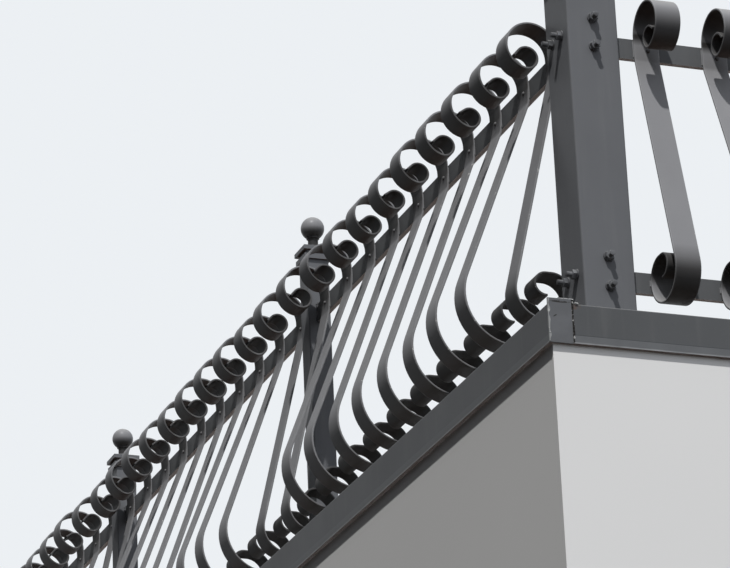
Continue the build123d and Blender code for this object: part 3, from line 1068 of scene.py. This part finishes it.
class RAILING_OT_paint(bpy.types.Operator):
    """Paints the CAD nodes that stay as they are"""

    bl_idname = "railing.paint"
    bl_label = "Paint the steelwork"

    def execute(self, context):
        look = context.scene.railing_look
        beam, under = look.beam_colour, look.underside_light_colour
        corner = high("corner_end_plate")
        smear = (corner[0] + 9 * MM, high("right_edge_beam")[2] - 4 * MM, 13 * MM, 8 * MM)
        # The caps are painted nearly black above this height: a painted shadow under each ball.
        neck = high("left_cap_1")[2] - 24 * MM
        # Painted shade: the left rails get a darker copy of the rail paint.
        left_rail, right_rail = shade(beam, look.left_rail_shade), shade(beam, look.right_rails)
        coats = (
            ("", "strip", strip_paint("strip_paint", look)),
            ("", "foot_plate", steel_paint("foot_paint", look, look.foot_colour, 0.55, cad=True)),
            ("", "_cap", steel_paint("cap_paint", look, look.steel_colour, 0.42, cad=True, neck=neck)),
            # On the rails, the colour of their undersides is a pale painted light from below.
            ("left", "_rail_", steel_paint("shaded_left_rail_paint", look, left_rail, 0.46, cad=True, stain=under)),
            ("right", "_rail_", steel_paint("rail_paint", look, right_rail, 0.46, cad=True, stain=under)),
            ("left", "beam", steel_paint("beam_paint", look, beam, 0.46, cad=True)),
            ("right", "beam", self.right_beam(look, smear)),
            ("corner", "end_plate", plate_paint("plate_paint", look)),
            ("", "", steel_paint("steel_paint", look, look.steel_colour, 0.42, cad=True)),
        )
        for name, node in frame["nodes"].items():
            node.data.materials.clear()
            node.data.materials.append(self.coat(coats, name))
        return {"FINISHED"}

    def right_beam(self, look, smear):
        """The right beam's paint, a little darker than the left one's, with a smear beside the corner."""
        colour = shade(look.beam_colour, look.right_beam)
        return steel_paint("right_beam_paint", look, colour, 0.46, cad=True, smear=smear)

    def coat(self, coats, name):
        """The first coat whose start and word the node's name has."""
        return next(coat for start, word, coat in coats if name.startswith(start) and word in name)


# Studio


def stage_piece(name, vertices, faces, material):
    """A floor or wall of the studio."""
    mesh = bpy.data.meshes.new(name)
    mesh.from_pydata(vertices, [], faces)
    mesh.materials.append(material)
    piece = bpy.data.objects.new(name, mesh)
    bpy.context.scene.collection.objects.link(piece)
    return piece


def studio_finish(name, colour):
    """Plain pale plaster that only the camera sees, and only from its front, so that it hides nothing from
    behind and sends no light up under the bars."""
    made = Finish(name)
    base = made.mix(made.noise(2.0), shade(colour, 0.97), shade(colour, 1.02))
    made.finish(base, 0.9)
    clear = made.node("BsdfTransparent").outputs[0]
    seen = made.value(made.node("LightPath").outputs["Is Camera Ray"])
    behind = made.value(made.node("NewGeometry").outputs["Backfacing"])
    shown = made.blend(seen * (1.0 - behind), clear, made.shader.outputs[0])
    made.feed(made.output.inputs["Surface"], shown)
    return made.material


class RAILING_OT_studio(bpy.types.Operator):
    """Sets up the floor, the backdrop, the lamps and the camera"""

    bl_idname = "railing.studio"
    bl_label = "Studio"

    def execute(self, context):
        scene, studio = context.scene, context.scene.railing_studio
        self.floor(studio)
        self.world(scene, studio)
        self.lamps(scene, studio)
        self.camera(scene, studio)
        scene.view_settings.view_transform = "Standard"
        return {"FINISHED"}

    def floor(self, studio):
        """A wide floor at the feet, and a plain plinth below it on the street side."""
        wide, level = 30.0, -0.6 * MM
        corners = [(-wide, -wide, level), (wide, -wide, level), (wide, wide, level), (-wide, wide, level)]
        stage_piece("studio_floor", corners, [(0, 1, 2, 3)], studio_finish("floor_finish", studio.floor))
        edge = low("corner_end_plate")[0] + 8 * MM
        far_x, far_y = high("right_strip")[0], high("left_strip")[1]
        ring = [(edge, far_y), (edge, edge), (far_x, edge), (far_x, far_y)]
        top, bottom = -0.8 * MM, -2.6
        vertices = [(*place, height) for height in (top, bottom) for place in ring]
        sides = [(k, 4 + k, 4 + (k + 1) % 4, (k + 1) % 4) for k in range(4)]
        stage_piece("studio_plinth", vertices, sides, studio_finish("plinth_finish", studio.floor))

    def world(self, scene, studio):
        """Soft light by direction: the fill from above, the front fill from the street side, little from
        below, and less on the left. The camera and reflections see the pale backdrop."""
        world = bpy.data.worlds.new("studio_world")
        world.use_nodes = True
        made = Nodes(world.node_tree)
        x, y, z = made.parts(made.node("TexCoord").outputs["Generated"])
        side = 1.0 - (0.0 - x).step(-0.2, 0.9) * studio.side_shade
        front = (0.0 - y).step(0.2, 1.0) * z.step(-0.1, 0.25) * studio.front
        strength = (z.step(-0.05, 0.9) * (studio.above - studio.below) + studio.below + front) * side
        tint = made.mix(z.step(-0.3, 0.2), studio.below_tint, studio.above_tint)
        light = made.node("Background", Color=tint, Strength=strength)
        seen = made.node("Background", Color=(*studio.backdrop, 1.0))
        rays = made.node("LightPath").outputs
        camera, glossy = made.value(rays["Is Camera Ray"]), made.value(rays["Is Glossy Ray"])
        shown = (camera + glossy + made.value(rays["Is Transmission Ray"])).clamp()
        made.node("OutputWorld", Surface=made.blend(shown, light.outputs[0], seen.outputs[0]))
        scene.world = world

    def lamps(self, scene, studio):
        """A soft key from the upper left front."""
        data = bpy.data.lights.new("key_lamp", "SUN")
        data.energy = studio.sun
        data.angle = radians(1.6)
        lamp = bpy.data.objects.new("key_lamp", data)
        lamp.rotation_euler = Vector(studio.sun_travel).to_track_quat("-Z", "Y").to_euler()
        scene.collection.objects.link(lamp)

    def camera(self, scene, studio):
        """The photograph's camera: placed by its heading, elevation and roll."""
        data = bpy.data.cameras.new("photo_camera")
        data.sensor_width = 36.0
        data.lens = studio.lens
        data.clip_end = 200.0
        heading, elevation = studio.heading, studio.elevation
        forward = Vector((sin(heading) * cos(elevation), cos(heading) * cos(elevation), sin(elevation)))
        right = Vector((cos(heading), -sin(heading), 0))
        up = right.cross(forward)
        level = right * cos(studio.roll) + up * sin(studio.roll)
        upright = up * cos(studio.roll) - right * sin(studio.roll)
        turn = Matrix((level, upright, -forward)).transposed()
        camera = bpy.data.objects.new("photo_camera", data)
        camera.matrix_world = Matrix.Translation(studio.camera_place) @ turn.to_4x4()
        scene.collection.objects.link(camera)
        scene.camera = camera


class RAILING_PT_panel(bpy.types.Panel):
    """Lists the steps that dress the railing"""

    bl_label = "Railing"
    bl_space_type = "VIEW_3D"
    bl_region_type = "UI"
    bl_category = "Railing"

    def draw(self, context):
        for step in STEPS:
            self.layout.operator(step.bl_idname)
        for group in GROUPS:
            settings = getattr(context.scene, group)
            for name in settings.__annotations__:
                self.layout.prop(settings, name)


GROUPS = {
    "railing_look": RailingLook,
    "railing_bars": BarSizes,
    "railing_fixings": FixingSizes,
    "railing_studio": StudioSettings,
}
STEPS = (
    RAILING_OT_paint,
    RAILING_OT_scrolls,
    RAILING_OT_rivets,
    RAILING_OT_bolts,
    RAILING_OT_welds,
    RAILING_OT_finials,
    RAILING_OT_studio,
)


def register():
    """Registers the settings, the steps and the panel."""
    for name, group in GROUPS.items():
        bpy.utils.register_class(group)
        setattr(bpy.types.Scene, name, bpy.props.PointerProperty(type=group))
    for item in (*STEPS, RAILING_PT_panel):
        bpy.utils.register_class(item)


def unregister():
    """Takes them out again."""
    for item in (RAILING_PT_panel, *reversed(STEPS)):
        bpy.utils.unregister_class(item)
    for name, group in GROUPS.items():
        delattr(bpy.types.Scene, name)
        bpy.utils.unregister_class(group)


def main():
    """Runs every step."""
    register()
    for step in STEPS:
        family, name = step.bl_idname.split(".")
        getattr(getattr(bpy.ops, family), name)()


if __name__ == "__main__":
    main()
